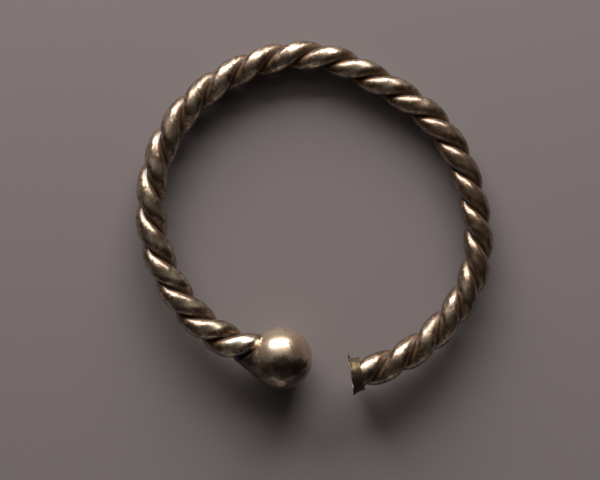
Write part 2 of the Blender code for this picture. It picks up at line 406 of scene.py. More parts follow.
class Finish:
    """A material whose colour, roughness and metallic are built up in layers."""

    def __init__(self, name, colour, roughness, metallic, coat=0.0):
        self.material = bpy.data.materials.new(name)
        self.material.use_nodes = True
        self.tree = self.material.node_tree
        self.shader = self.tree.nodes["Principled BSDF"]
        self.place = result(self.tree, "ShaderNodeTexCoord", output="Object")
        self.values = {"Base Color": (*colour, 1.0), "Roughness": roughness, "Metallic": metallic}
        fill_inputs(self.shader, {
            "Coat Weight": coat, "Coat Roughness": COAT_ROUGHNESS, "Coat IOR": COAT_IOR,
        })

    def attribute(self, name):
        """A value that each point of the mesh carries."""
        return result(self.tree, "ShaderNodeAttribute", output="Fac", attribute_name=name)

    def group(self, effect, **values):
        """The outputs of a shared effect, placed with its own values."""
        values["Vector"] = self.place
        return add_node(self.tree, "ShaderNodeGroup", values, node_tree=effect).outputs

    def patches(self, size, seed, coverage, softness):
        """A mask of patches all over the piece."""
        group = self.group(PATCHES, Size=size, Seed=seed, Coverage=coverage, Softness=softness)
        return group["Mask"]

    def mark(self, place, reach, to=None, softness=0.4, raggedness=0.6, seed=None):
        """A mask round a place of the hoop, or along a streak from there to another place."""
        centre, along, stretch = place, Vector((0.0, 0.0, 0.0)), 1.0
        if to is not None:
            centre, along = (place + to) / 2, (to - place).normalized()
            stretch = (to - place).length / (2 * reach)
        return self.group(
            SPOT, Centre=to_table @ centre, Radius=reach, Along=to_table.to_3x3() @ along,
            Stretch=stretch, Softness=softness, Raggedness=raggedness,
            Seed=1000 * reach if seed is None else seed,
        )["Mask"]

    def layer(self, mask, colour, roughness, metallic, strength):
        """Lays a colour, roughness and metallic over the finish where the mask is white."""
        share = calc("MULTIPLY", mask, strength)
        top = {"Base Color": (*colour, 1.0), "Roughness": roughness, "Metallic": metallic}
        for name, value in top.items():
            kind, first, output = MIX_COLOURS if name == "Base Color" else MIX_NUMBERS
            self.values[name] = result(self.tree, "ShaderNodeMix", {
                0: share, first: self.values[name], first + 1: value,
            }, output, data_type=kind)

    def film(self, patch, look, within=None, seed=0):
        """Lays a film in patches all over the piece, or only within another mask."""
        size, own_seed, coverage, softness = patch
        mask = self.patches(size, seed + own_seed, coverage, softness)
        if within is not None:
            mask = calc("MULTIPLY", mask, within)
        self.layer(mask, *look)

    def spot(self, place, reach, look, **shape):
        """Lays a ragged spot or streak on one place."""
        self.layer(self.mark(place, reach, **shape), *look)

    def done(self, height, bump):
        """Connects the layers and the bump to the shader."""
        self.values["Normal"] = result(self.tree, "ShaderNodeBump", {
            "Height": height, "Strength": bump, "Distance": BUMP_DEPTH,
        })
        fill_inputs(self.shader, self.values)
        return self.material


# %% [markdown]
# ## What rods and neck share
#
# Where the rods run into the ball, one black-brown mark fills the corner between rods and
# neck. It is partly crust and partly painted shade, because that corner is a recess in shade. One
# smear of pale solder crosses from the one to the other. Two pieces meet there, so both finishes
# call the same short function, and the marks run on from piece to piece.
#
# A look is written as a colour, a roughness, a metallic and a strength. Places are points of
# the hoop in its own plane: right of its centre, above it on the table, and up out of it.

# %% Crust, painted shade and solder at the neck
# Painted shade, partly crust: the dark corner and streak where rods and neck meet darken a recess
# that lies in shade.
CRUST_AND_SHADE = ((0.026, 0.016, 0.010), 0.65, 0.3, 0.97)
CRUST_AND_SHADE_AT = Vector((-0.0169, -0.0341, 0.0026))
CRUST_AND_SHADE_REACH = 0.0026
SHADE_STREAK_FROM = Vector((-0.0152, -0.0316, 0.0038))
SHADE_STREAK_TO = Vector((-0.0168, -0.0348, 0.0026))
SHADE_STREAK_REACH = 0.0011
SOLDER = ((0.84, 0.76, 0.62), 0.42, 0.6, 0.9)
SOLDER_FROM = Vector((-0.0134, -0.0288, 0.0029))
SOLDER_TO = Vector((-0.0141, -0.0307, 0.0037))
SOLDER_REACH = 0.0008
# Dirt in the pits of the rods and the ball
PIT_DIRT = ((0.06, 0.04, 0.02), 0.6, 0.4, 0.4)


def crust_and_solder(finish):
    # The first two marks are partly crust and partly painted shade.
    finish.spot(CRUST_AND_SHADE_AT, CRUST_AND_SHADE_REACH, CRUST_AND_SHADE, softness=0.25)
    finish.spot(SHADE_STREAK_FROM, SHADE_STREAK_REACH, CRUST_AND_SHADE, to=SHADE_STREAK_TO, softness=0.25)
    finish.spot(SOLDER_FROM, SOLDER_REACH, SOLDER, to=SOLDER_TO, raggedness=0.9)


# %% [markdown]
# ## The finish of the rods
#
# The crests are rubbed bright while the grooves keep their crust, so the mesh will carry an
# attribute "from_crest": 0 on the crest, 1 at a quarter turn, where the rods meet. Another,
# "faces_up", tells how far a point looks up, because the sides that look down get painted shade.
#
# The films are laid from broad and pale to small and dark. They are thinner on the crests, and
# one side of the hoop is laid over with a browner layer. Then come dirt in the pits, a streak of
# clean bright metal laid along one lobe's highlight, which is partly wear and partly painted
# highlight, single stains, painted shade near the torn end, painted shade on the sides that look
# down, and last a rusty edge and the crust in the grooves. The rods differ only in their seed, so
# that no patch shows twice.

# %% Finish of the twisted rods
ROD_METAL = ((0.87, 0.725, 0.55), 0.31, 0.96)
ROD_COAT = 0.9
# ((size, seed, coverage, softness), look)
# A browner, darker layer over the right side of the hoop.
BROWN_SIDE_LAYER = ((0.0024, 15, 0.72, 0.12), ((0.21, 0.125, 0.075), 0.38, 0.94, 0.8))
ROD_FILMS = (
    ((0.0036, 0, 0.78, 0.14), ((0.36, 0.222, 0.13), 0.36, 0.95, 0.6)),
    ((0.0030, 12, 0.26, 0.09), ((0.27, 0.195, 0.09), 0.38, 0.94, 0.85)),
    ((0.0022, 3, 0.52, 0.07), ((0.12, 0.066, 0.036), 0.42, 0.94, 0.95)),
    ((0.0013, 17, 0.34, 0.08), ((0.22, 0.10, 0.045), 0.42, 0.94, 0.7)),
    ((0.0008, 5, 0.42, 0.06), ((0.05, 0.028, 0.015), 0.5, 0.7, 0.9)),
)
BROWN_SIDE_AT, BROWN_SIDE_REACH = Vector((0.0400, 0.0060, 0.0000)), 0.0280
# Painted highlight, partly wear: a streak of clean pale metal laid along the highlight of the last
# lobe before the ball.
RUBBED_HIGHLIGHT = ((0.88, 0.81, 0.68), 0.27, 0.9, 0.8)
HIGHLIGHT_STREAK_FROM, HIGHLIGHT_STREAK_REACH = Vector((-0.0216, -0.0299, 0.0042)), 0.0009
HIGHLIGHT_STREAK_TO = Vector((-0.0148, -0.0288, 0.0034))
# (place, reach, look)
ROD_STAINS_AND_SHADE = (
    ((-0.0203, -0.0330, 0.0034), 0.0008, ((0.50, 0.44, 0.16), 0.45, 0.75, 0.6)),
    ((-0.0212, -0.0304, 0.0041), 0.0004, ((0.12, 0.10, 0.03), 0.45, 0.75, 0.9)),
    # Painted shade: the next three darken the lobes beside the torn end, where they lie in shade.
    ((0.0128, -0.0392, 0.0035), 0.0026, ((0.045, 0.030, 0.018), 0.45, 0.75, 0.92)),
    ((0.0155, -0.0388, 0.0026), 0.0022, ((0.045, 0.030, 0.018), 0.45, 0.75, 0.92)),
    ((0.0194, -0.0362, 0.0036), 0.0023, ((0.10, 0.065, 0.040), 0.45, 0.75, 0.8)),
)
# Painted shade: a dark brown laid on the sides that look sideways and down.
SHADED_SIDES = ((0.075, 0.045, 0.028), 0.52, 0.8, 0.92)
RUSTY_EDGE = ((0.30, 0.165, 0.085), 0.40, 0.85, 0.85)
GROOVE_CRUST = ((0.070, 0.036, 0.019), 0.65, 0.3, 0.97)
# (start, end) of the masks: off the crest, towards the groove, into it, and the painted shade down
# the sides
OFF_CREST, IN_RUST, IN_CRUST, SHADED_SIDE_RANGE = (0.15, 0.62), (0.70, 0.88), (0.82, 0.98), (-0.60, 0.05)


def rod_silver(name, seed):
    finish = Finish(name, *ROD_METAL, coat=ROD_COAT)
    from_crest = finish.attribute("from_crest")
    marks = finish.group(MARKS, Seed=seed, Dents=0.2, Pits=0.45, Scratches=0.2)
    fray = finish.patches(0.0009, seed + 8, 0.5, 0.4)
    off_crest = smooth_step(frayed(from_crest, fray, 0.25), *OFF_CREST, low=0.55)
    brown_side = finish.mark(BROWN_SIDE_AT, BROWN_SIDE_REACH, softness=0.35, seed=seed)
    finish.film(*BROWN_SIDE_LAYER, within=brown_side, seed=seed)
    for film in ROD_FILMS:
        finish.film(*film, within=off_crest, seed=seed)
    finish.layer(marks["Pit"], *PIT_DIRT)
    # Painted highlight on rubbed metal, along the last lobe.
    finish.spot(HIGHLIGHT_STREAK_FROM, HIGHLIGHT_STREAK_REACH, RUBBED_HIGHLIGHT, to=HIGHLIGHT_STREAK_TO)
    for place, reach, look in ROD_STAINS_AND_SHADE:
        finish.spot(Vector(place), reach, look)
    in_groove = frayed(from_crest, fray, 0.14)
    # Painted shade on the sides of the rods that look away from the sky.
    shaded_side = calc("SUBTRACT", calc("MULTIPLY", fray, 0.3), finish.attribute("faces_up"))
    finish.layer(smooth_step(shaded_side, *SHADED_SIDE_RANGE), *SHADED_SIDES)
    finish.layer(smooth_step(in_groove, *IN_RUST), *RUSTY_EDGE)
    finish.layer(smooth_step(in_groove, *IN_CRUST), *GROOVE_CRUST)
    crust_and_solder(finish)
    return finish.done(marks["Height"], bump=0.45)


ROD_SILVERS = [rod_silver("rod silver one", 1.0), rod_silver("rod silver two", 21.0)]
print("finishes", [silver.name for silver in ROD_SILVERS])

# %% [markdown]
# ## Two rods twisted like a rope
#
# Each rod is a D in section, its flat against the other rod's flat. Sweeping that D along the
# rope's axis while turning it gives the twisted rod, and the second rod is the same sweep half a
# turn on. The axis is a curve whose points carry their own tilt, which is the twist, and radius,
# which is the thickness. An array bent along a curve would look twisted too, but less exactly.
#
# The D is made from a circle of radius 1. Its round side keeps the rope's full radius only near
# the crest. From a low shoulder it falls away, gently at first and then steeply, into the
# groove between the rods. What would cross to the other rod's side is held back at the flat.

# %% Section of a rod
def store(tree, shape, name, value):
    """Lets each point of a shape carry a value."""
    return result(tree, "GeometryNodeStoreNamedAttribute", {
        "Geometry": shape, "Name": name, "Value": value,
    }, data_type="FLOAT", domain="POINT")


def d_section(tree, given):
    """A D whose points know how far they are from the crest."""
    circle = result(tree, "GeometryNodeCurvePrimitiveCircle", {
        "Resolution": given["Points round"], "Radius": 1.0,
    })
    position = result(tree, "GeometryNodeInputPosition")
    at = add_node(tree, "ShaderNodeSeparateXYZ", {"Vector": position}).outputs
    angle = calc("ABSOLUTE", calc("ARCTAN2", at["Y"], at["X"]))
    from_crest = calc("DIVIDE", angle, math.pi / 2)
    past_shoulder = result(tree, "ShaderNodeMapRange", {
        "Value": angle, "From Min": given["Shoulder"], "From Max": math.pi / 2,
    })
    fall = calc("POWER", past_shoulder, given["Groove curve"])
    sunk = calc("MULTIPLY", given["Groove depth"], fall)
    reach = calc("SUBTRACT", given["Rope radius"], sunk)
    place = result(tree, "ShaderNodeCombineXYZ", {
        "X": calc("MAXIMUM", calc("MULTIPLY", reach, at["X"]), given["Half gap"]),
        "Y": calc("MULTIPLY", reach, at["Y"]),
    })
    return result(tree, "GeometryNodeSetPosition", {
        "Geometry": store(tree, circle, "from_crest", from_crest), "Position": place,
    })


# %% [markdown]
# A soft noise then sinks the round side a little, as hammering did, while the flat stays flat.
# Sinking only, never raising, keeps the rod inside its solid.

# %% Hammer marks and facing
ROUND_SIDE = 0.95


def hammer(tree, given, rod):
    """Sinks the round side of a rod by a soft noise."""
    scale = calc("DIVIDE", 1.0, given["Hammer size"])
    unevenness = seeded_noise(given["Seed"], Scale=scale, Detail=2.0)
    from_crest = result(tree, "GeometryNodeInputNamedAttribute", {"Name": "from_crest"}, "Attribute")
    is_round = calc("LESS_THAN", from_crest, ROUND_SIDE)
    depth = calc("MULTIPLY", given["Hammer depth"], unevenness)
    outward = calc("MULTIPLY", calc("MULTIPLY", depth, is_round), -1.0)
    push = vectors("SCALE", {0: result(tree, "GeometryNodeInputNormal"), "Scale": outward})
    return result(tree, "GeometryNodeSetPosition", {"Geometry": rod, "Offset": push})


def store_faces_up(tree, rod):
    normal = result(tree, "GeometryNodeInputNormal")
    upward = result(tree, "ShaderNodeSeparateXYZ", {"Vector": normal}, "Z")
    return store(tree, rod, "faces_up", upward)


# %% [markdown]
# The tree itself is now short: make the section, sweep it, hammer it, and set the material.
# Its sizes are named inputs, and the same tree makes both rods.

# %% Node tree of a twisted rod
tree, given = new_group("Twisted rod", "GeometryNodeTree", {
    "Geometry": "Geometry", "Rope radius": 0.0037, "Groove depth": 0.0017,
    "Groove curve": 2.4, "Shoulder": math.radians(12.0), "Half gap": 0.00002,
    "Points round": 80, "Hammer depth": 0.00007, "Hammer size": 0.005, "Seed": 0.0,
    "Material": "Material",
})
swept = result(tree, "GeometryNodeCurveToMesh", {
    "Curve": given["Geometry"], "Profile Curve": d_section(tree, given), "Fill Caps": True,
    "Scale": result(tree, "GeometryNodeInputRadius"),
})
marked = store_faces_up(tree, hammer(tree, given, swept))
whole = result(tree, "GeometryNodeRealizeInstances", {"Geometry": marked})
finished = result(tree, "GeometryNodeSetMaterial", {
    "Geometry": whole, "Material": given["Material"],
})
ROD_TREE = close_group(tree, "Geometry", {"Geometry": finished})

# %% [markdown]
# The rail of a rod is the rope's axis as a curve, from the torn end to just inside the neck of
# the ball. Its points stand at even distances, so that the twist is as finely drawn in the
# tight bends as in the flat stretches. The rope is stouter near its ends than in the middle.

# %% The rail of a rod
RAIL_POINTS = 900
# How near the ball's centre the rods run, hidden in the neck
ROD_END = 0.0055
# The rope's radius, at even steps from the torn end to the ball
ROPE_RADII = (0.0040, 0.0037, 0.0037, 0.0036, 0.0038, 0.0039, 0.0044)
MIDDLE_RADIUS = ROPE_RADII[1]


def rod_rail(index):
    """The rope's axis as a curve with the twist of one rod in its tilt."""
    rod = from_ball >= ROD_END
    lengths = lengths_along(axis_points[rod])
    even = np.linspace(0, lengths[-1], RAIL_POINTS)
    angles = np.interp(even, lengths, hoop_angles[rod])
    steps = np.linspace(0, 1, len(ROPE_RADII))
    thickness = np.interp(round_the_hoop(angles), steps, ROPE_RADII)
    places = [np.interp(even, lengths, column) for column in axis_points[rod].T]
    curve = bpy.data.curves.new("rod rail", "CURVE")
    curve.dimensions = "3D"
    curve.twist_mode = "Z_UP"
    spline = curve.splines.new("POLY")
    spline.points.add(RAIL_POINTS - 1)
    spline.points.foreach_set("co", np.stack([*places, np.ones(RAIL_POINTS)], axis=-1).ravel())
    spline.points.foreach_set("tilt", -math.pi * (half_turns(angles) + index))
    spline.points.foreach_set("radius", thickness / MIDDLE_RADIUS)
    return add_object("rod rail", curve)


rails = [rod_rail(0), rod_rail(1)]
print("rails", [rail.name for rail in rails])

# %% [markdown]
# A modifier's inputs are set by their identifiers, such as Socket_2, because two inputs may
# share a name. The curve with the modifier is then turned into a plain mesh and removed. What
# stays is an ordinary object at the origin, with its place in its mesh.
#
# The worn rods are drawn a little thinner than their solids, so that every bump of the twist
# stays inside the solids' box.

# %% Sweep the two rods
WORN_SHARE = 0.984
ROD_SHARP_EDGE = math.radians(50)


def set_inputs(modifier, **values):
    """Sets a tree's inputs by name, with _ for each space."""
    tree = modifier.node_group
    identifiers = {item.name: item.identifier for item in tree.interface.items_tree}
    for name, value in values.items():
        modifier[identifiers[name.replace("_", " ")]] = value


def plain_mesh(source, name):
    """Bakes what an object's modifiers make into an object at the origin, on the table."""
    bpy.context.view_layer.update()
    depsgraph = bpy.context.evaluated_depsgraph_get()
    mesh = bpy.data.meshes.new_from_object(source.evaluated_get(depsgraph), depsgraph=depsgraph)
    bpy.data.objects.remove(source)
    mesh.transform(to_table)
    mesh.name = name
    return add_object(name, mesh)


rods = []
for index, (rail, silver) in enumerate(zip(rails, ROD_SILVERS)):
    sweep = rail.modifiers.new("sweep", "NODES")
    sweep.node_group = ROD_TREE
    set_inputs(sweep, Rope_radius=WORN_SHARE * MIDDLE_RADIUS, Seed=4.0 * index, Material=silver)
    rod = plain_mesh(rail, f"twisted_rod_{index + 1}")
    rod.data.shade_smooth()
    rod.data.set_sharp_from_angle(angle=ROD_SHARP_EDGE)
    rods.append(rod)
    print(rod.name, len(rod.data.vertices), "points")

# %% [markdown]
# ## The ball and its neck
#
# The ball is hollow and was raised from sheet, with a conical neck soldered over the ends of the
# rods. The neck's mouth is cut aslant, and on the upper side it is set back so far that the rods
# run almost into the ball. Starting from a sphere and pulling a neck out of it would leave a
# waist, so the surface is built line by line instead: each line runs straight from the mouth to
# the point where it touches the ball, and goes on round the ball to the far side.

# %% Place the mouth of the neck
# How far the mouth is from the ball's centre, and how far off the rope's axis
MOUTH_SPACING = 0.0094
MOUTH_OFFSET = 0.0008
MOUTH_SLANT = math.radians(18.7)

mouth_index = int(np.argmin(abs(from_ball - MOUTH_SPACING)))
rope_direction = Vector(axis_points[mouth_index + 1] - axis_points[mouth_index - 1]).normalized()
mouth_centre = Vector(axis_points[mouth_index]) + UP.cross(rope_direction) * MOUTH_OFFSET
mouth_normal = Matrix.Rotation(-MOUTH_SLANT, 3, UP) @ rope_direction
neck_axis = (ball_in_hoop - mouth_centre).normalized()
neck_length = (ball_in_hoop - mouth_centre).length
print("mouth centre in mm", in_mm(mouth_centre), "neck length", in_mm([neck_length]))

# %% [markdown]
# Both necks are rings of points that are joined into a skin. Handwork shows in small things: a
# soft noise makes the cone wavy and gives the ball its shallow dents. It only ever sinks the
# surface, so the ball keeps its size.

# %% Helpers for skins of rings
SKIN_SIDES = 192


def circle_directions(axis):
    """Unit directions square to an axis, starting from the highest."""
    top = (UP - axis * UP.dot(axis)).normalized()
    side = axis.cross(top)
    turns = [2 * math.pi * k / SKIN_SIDES for k in range(SKIN_SIDES)]
    return [math.cos(turn) * top + math.sin(turn) * side for turn in turns]


def sink(point, size, depth, seed):
    """How deep a soft noise of a given size sinks a point."""
    return depth * (0.5 + 0.5 * noise.noise(point / size + Vector((seed, 0, 0))))


def add_rings(mesh, rings):
    """Joins rings of points into a skin of quads, and closes both ends."""
    loops = [[mesh.verts.new(point) for point in ring] for ring in rings]
    for lower, upper in zip(loops, loops[1:]):
        for k in range(len(lower)):
            after = (k + 1) % len(lower)
            mesh.faces.new((lower[k], lower[after], upper[after], upper[k]))
    for loop in (loops[0], loops[-1]):
        mesh.faces.new(loop)
    bmesh.ops.recalc_face_normals(mesh, faces=mesh.faces)


def smooth_piece(name, mesh, sharp_edge):
    """Turns a bmesh into a smoothly shaded object at the origin."""
    data = bpy.data.meshes.new(name)
    mesh.to_mesh(data)
    mesh.free()
    data.shade_smooth()
    data.set_sharp_from_angle(angle=sharp_edge)
    return add_object(name, data)


# %% [markdown]
# Each line of the skin starts at the lip of the mouth, which is set back towards the ball on
# the upper side and, less, on the hoop's inside. The cone also sags a little on top.

# %% Shape of the ball and its neck
MOUTH_RADIUS = 0.00428
LIP_SET_BACK = 0.0031
LIP_SET_BACK_INSIDE = 0.0018
LEAST_NECK = 0.00005
NECK_SAG = 0.0004
# (size, depth, seed)
NECK_WAVES = (0.0035, 0.00016, 3.0)
BALL_DENTS = (0.0040, 0.00009, 7.0)
NECK_STEPS = 36
BALL_STEPS = 110
# The last ring stays this angle short of the ball's far pole, and a face closes it
POLE_OPENING = 0.01


def on_ball(out, polar):
    """A point of the ball, at an angle from the middle of its neck."""
    return ball_in_hoop + BALL_RADIUS * (math.sin(polar) * out - math.cos(polar) * neck_axis)


def lip_behind(out):
    """How far behind the ball's centre the lip of the mouth is, in one direction."""
    nearest = math.sqrt(BALL_RADIUS ** 2 - MOUTH_RADIUS ** 2) + LEAST_NECK
    facing_up = max(0.0, out.z)
    facing_in = max(0.0, -out.dot(mouth_centre.normalized()))
    behind = neck_length + MOUTH_RADIUS * out.dot(mouth_normal) / neck_axis.dot(mouth_normal)
    return max(behind - LIP_SET_BACK * facing_up - LIP_SET_BACK_INSIDE * facing_in, nearest)


neck_rings = [[] for _ in range(NECK_STEPS + BALL_STEPS)]
for out in circle_directions(neck_axis):
    behind = lip_behind(out)
    slope = math.atan2(MOUTH_RADIUS, behind)
    touch = slope + math.acos(BALL_RADIUS / math.hypot(MOUTH_RADIUS, behind))
    lip = ball_in_hoop - neck_axis * behind + out * MOUTH_RADIUS
    touching = on_ball(out, touch)
    for step in range(NECK_STEPS):
        share = step / NECK_STEPS
        point = lip.lerp(touching, share)
        wave = sink(point, *NECK_WAVES) + NECK_SAG * max(0.0, out.z)
        neck_rings[step].append(point - out * (wave * math.sin(math.pi * share)))
    for step in range(BALL_STEPS):
        polar = touch + (math.pi - POLE_OPENING - touch) * step / (BALL_STEPS - 1)
        point = on_ball(out, polar)
        dent = sink(point, *BALL_DENTS) * math.sin(math.pi * step / BALL_STEPS)
        neck_rings[NECK_STEPS + step].append(point.lerp(ball_in_hoop, dent / BALL_RADIUS))
print(len(neck_rings), "rings of", SKIN_SIDES, "points")

# %% [markdown]
# Each point stores its height over the ball, in millimetres, as the attribute "off_ball", which
# tells neck from ball in the finish. Where the neck meets the rods, the smear of solder is then
# pushed out in lumps. Under the ball a thin slice is cut off at the height of the table, which
# leaves the small flat that it lies on.

# %% Make the ball
SOLDER_LUMPS = 0.0002
LUMP_SIZE = 0.0006
FLAT_HEIGHT = 0.00001
BALL_SHARP_EDGE = math.radians(40)


def solder_share(point):
    """1 in the solder smear, falling to 0 from 0.7 to 1.2 times its reach."""
    line = SOLDER_TO - SOLDER_FROM
    share = min(1.0, max(0.0, (point - SOLDER_FROM).dot(line) / line.length_squared))
    away = (point - SOLDER_FROM.lerp(SOLDER_TO, share)).length / SOLDER_REACH
    return min(1.0, max(0.0, 2.0 * (1.2 - away)))


def cut_flat(mesh, height):
    """Cuts off what is below a height, and closes the cut."""
    everything = mesh.verts[:] + mesh.edges[:] + mesh.faces[:]
    cut = bmesh.ops.bisect_plane(
        mesh, geom=everything, plane_co=(0, 0, height), plane_no=(0, 0, -1), clear_outer=True
    )
    rim = [part for part in cut["geom_cut"] if isinstance(part, bmesh.types.BMEdge)]
    bmesh.ops.edgeloop_fill(mesh, edges=rim)
    bmesh.ops.recalc_face_normals(mesh, faces=mesh.faces)


mesh = bmesh.new()
add_rings(mesh, neck_rings)
off_ball = mesh.verts.layers.float.new("off_ball")
mesh.normal_update()
for vert in mesh.verts:
    vert[off_ball] = 1000 * ((vert.co - ball_in_hoop).length - BALL_RADIUS)
    lump = max(0.0, 0.6 + 0.8 * noise.noise(vert.co / LUMP_SIZE))
    vert.co += vert.normal * (SOLDER_LUMPS * solder_share(vert.co) * lump)
mesh.transform(to_table)
cut_flat(mesh, FLAT_HEIGHT)
ball = smooth_piece("ball_and_neck", mesh, BALL_SHARP_EDGE)
print(ball.name, "is lowest at", in_mm([min(vert.co.z for vert in ball.data.vertices)]), "mm")

# %% [markdown]
# ## The finish of the ball
#
# The ball is handled most, so it is the smoothest piece, and single marks show on it. It has a
# brown tint right of its bright spot, and below that a dark blotch that runs right across, made
# of overlapping spots so that its outline is irregular. The blotch is partly a stain and partly a
# painted dark reflection, and a pale patch in it is a painted reflection. A fine scratch of short
# streaks bends down the right side. The sides that look down and outward get painted shade in
# dark brown, and the neck is a darker brown, partly as painted shade.
#
# The marks are placed by how far they lie right of and above the ball's middle, seen from
# above. The height that puts them on the ball's surface follows from that.

# %% Finish of the ball
BALL_METAL = ((0.80, 0.64, 0.49), 0.24, 0.84)
BALL_COAT = 0.5
# ((size, seed, coverage, softness), look)
BALL_FILMS = (
    ((0.0040, 42.0, 0.66, 0.18), ((0.52, 0.37, 0.28), 0.32, 0.78, 0.75)),
    ((0.0022, 45.0, 0.40, 0.1), ((0.30, 0.21, 0.12), 0.4, 0.8, 0.65)),
    ((0.0008, 48.0, 0.30, 0.08), ((0.16, 0.10, 0.06), 0.5, 0.8, 0.5)),
)
SHADED_BALL_SIDE = ((0.110, 0.072, 0.052), 0.42, 0.8, 0.85)
# (place, reach) of the painted shade, a dark brown, on the sides that look down and outward
SHADED_BALL_SIDES = (
    ((-0.0095, -0.0416, -0.0005), 0.0050), ((-0.0152, -0.0380, 0.0000), 0.0034),
    ((-0.0025, -0.0388, -0.0005), 0.0042),
)
BROWN_TINT = ((0.50, 0.34, 0.24), 0.30, 0.82, 0.85)
# Partly stain, partly painted dark reflection over the ball's lower half.
BALL_STAIN_AND_DARK_REFLECTION = ((0.038, 0.023, 0.017), 0.42, 0.75)
# (right of the middle, above the middle, reach, strength)
BALL_STAINS_AND_DARK_REFLECTION = (
    (0.0004, -0.0010, 0.0024, 0.9), (0.0040, -0.0017, 0.0023, 0.9),
    (0.0012, -0.0038, 0.0025, 0.9), (-0.0022, -0.0024, 0.0021, 0.8),
    (0.0040, -0.0046, 0.0023, 0.9), (0.0000, -0.0064, 0.0018, 0.7),
    (-0.0036, -0.0052, 0.0023, 0.7), (-0.0062, -0.0024, 0.0030, 0.85),
    (0.0024, -0.0030, 0.0027, 0.85), (0.0056, -0.0028, 0.0019, 0.75),
    (-0.0043, -0.0014, 0.0018, 0.5), (-0.0026, 0.0008, 0.0018, 0.3),
    (0.0024, -0.0060, 0.0022, 0.8),
)
# Painted reflection: a pale patch low on the ball.
PALE_REFLECTION_PATCH = ((0.66, 0.50, 0.38), 0.35, 0.8, 0.75)
PALE_STREAK = ((0.80, 0.62, 0.50), 0.3, 0.8, 0.6)
SCRATCH = ((0.09, 0.06, 0.035), 0.5, 0.7, 0.85)
SCRATCH_LINE = ((0.0018, 0.0044), (0.0023, 0.0036), (0.0029, 0.0025), (0.0034, 0.0012))
SCRATCH_REACH = 0.0002
# A darker brown on the neck, partly patina and partly painted shade.
BROWN_NECK_AND_SHADE = ((0.13, 0.082, 0.052), 0.5, 0.6, 0.85)


def on_top(right, above):
    """The point of the ball's upper side that lies so far right of and above its middle."""
    height = math.sqrt(BALL_RADIUS ** 2 - right ** 2 - above ** 2)
    return ball_in_hoop + Vector((right, above, height))


finish = Finish("ball silver", *BALL_METAL, coat=BALL_COAT)
marks = finish.group(MARKS, Seed=41.0, Dents=0.2, Pits=0.4, Scratches=0.3)
for film in BALL_FILMS:
    finish.film(*film)
# Painted shade on the ball's lower and outer sides.
for place, reach in SHADED_BALL_SIDES:
    finish.spot(Vector(place), reach, SHADED_BALL_SIDE, raggedness=0.3)
finish.spot(on_top(0.0050, 0.0030), 0.0034, BROWN_TINT, softness=0.6)
# The blotch: partly stain, partly painted dark reflection.
for right, above, reach, strength in BALL_STAINS_AND_DARK_REFLECTION:
    finish.spot(on_top(right, above), reach, (*BALL_STAIN_AND_DARK_REFLECTION, strength), raggedness=0.9)
# Painted reflection of a bright wall, low on the ball.
finish.spot(on_top(0.0000, -0.0060), 0.0012, PALE_REFLECTION_PATCH)
finish.spot(on_top(0.0062, 0.0010), 0.0006, PALE_STREAK, to=on_top(0.0066, -0.0012))
for start, end in zip(SCRATCH_LINE, SCRATCH_LINE[1:]):
    finish.spot(on_top(*start), SCRATCH_REACH, SCRATCH, to=on_top(*end))
fray = finish.patches(0.0012, 49.0, 0.5, 0.4)
off_ball = frayed(finish.attribute("off_ball"), fray, 0.2)
# The neck is darkened, partly as painted shade.
finish.layer(smooth_step(off_ball, 0.12, 0.45), *BROWN_NECK_AND_SHADE)
crust_and_solder(finish)
finish.layer(marks["Pit"], *PIT_DIRT)
ball.data.materials.append(finish.done(marks["Height"], bump=0.35))
print("finish", ball.data.materials[0].name)

# %% [markdown]
# ## The torn neck
#
# At the other end the ball broke away and left the mouth of its neck: a shallow trumpet of thin
# sheet with a ragged rim and one thin spike. It is drawn as rings too, from the rods, which it
# still grips, out to the rim and back along the inside, so that it is a closed wall of real
# thickness. Waves and noise tear the rim, and a few of its points are pushed out into the spike.

# %% Make the torn neck
# (distance past the rods' end, radius)
TORN_PROFILE = (
    (-0.0004, 0.00405), (0.0002, 0.00405), (0.0009, 0.0042), (0.0015, 0.0044), (0.0021, 0.0048),
)
TORN_SLANT = 0.0004
TORN_WAVES = 0.0001
TORN_TEETH, TEETH_ROUND = 0.00022, 6.0
SPIKE_HEIGHT = 0.0010
SPIKE_HALF_ANGLE = math.radians(12.0)
# Where the spike starts, as a share of the way to the rim, and the rest of the way
SPIKE_FROM, SPIKE_RISE = 0.78, 0.22
# The sheet's edge on the rods: how far it reaches back, and how unevenly
TORN_GRIP = 0.0004
GRIP_UNEVEN, GRIP_GRAIN = 0.0004, 0.0012
TORN_FLOOR = 0.0005
TORN_DENTS = (0.0016, 0.00016, 11.0)
TORN_STEPS = 24
SHEET = 0.0004
TORN_SHARP_EDGE = math.radians(45)

rods_end = Vector(axis_points[0])
torn_axis = (rods_end - Vector(axis_points[1])).normalized()


def torn_reach(around):
    """How far the torn rim reaches past the even one. The hoop's inside is at a quarter turn."""
    waves = TORN_WAVES * (math.sin(3 * around + 0.6) + 0.6 * math.sin(7 * around + 2.0))
    place = Vector((math.cos(around), math.sin(around), 0.3))
    return waves + TORN_TEETH * noise.noise(place * TEETH_ROUND) - TORN_SLANT * math.sin(around)


def spike(around):
    """How far the thin spike on the hoop's inside stands out from the rim."""
    away = abs(math.remainder(around - math.pi / 2, 2 * math.pi))
    return SPIKE_HEIGHT * max(0.0, 1 - away / SPIKE_HALF_ANGLE)


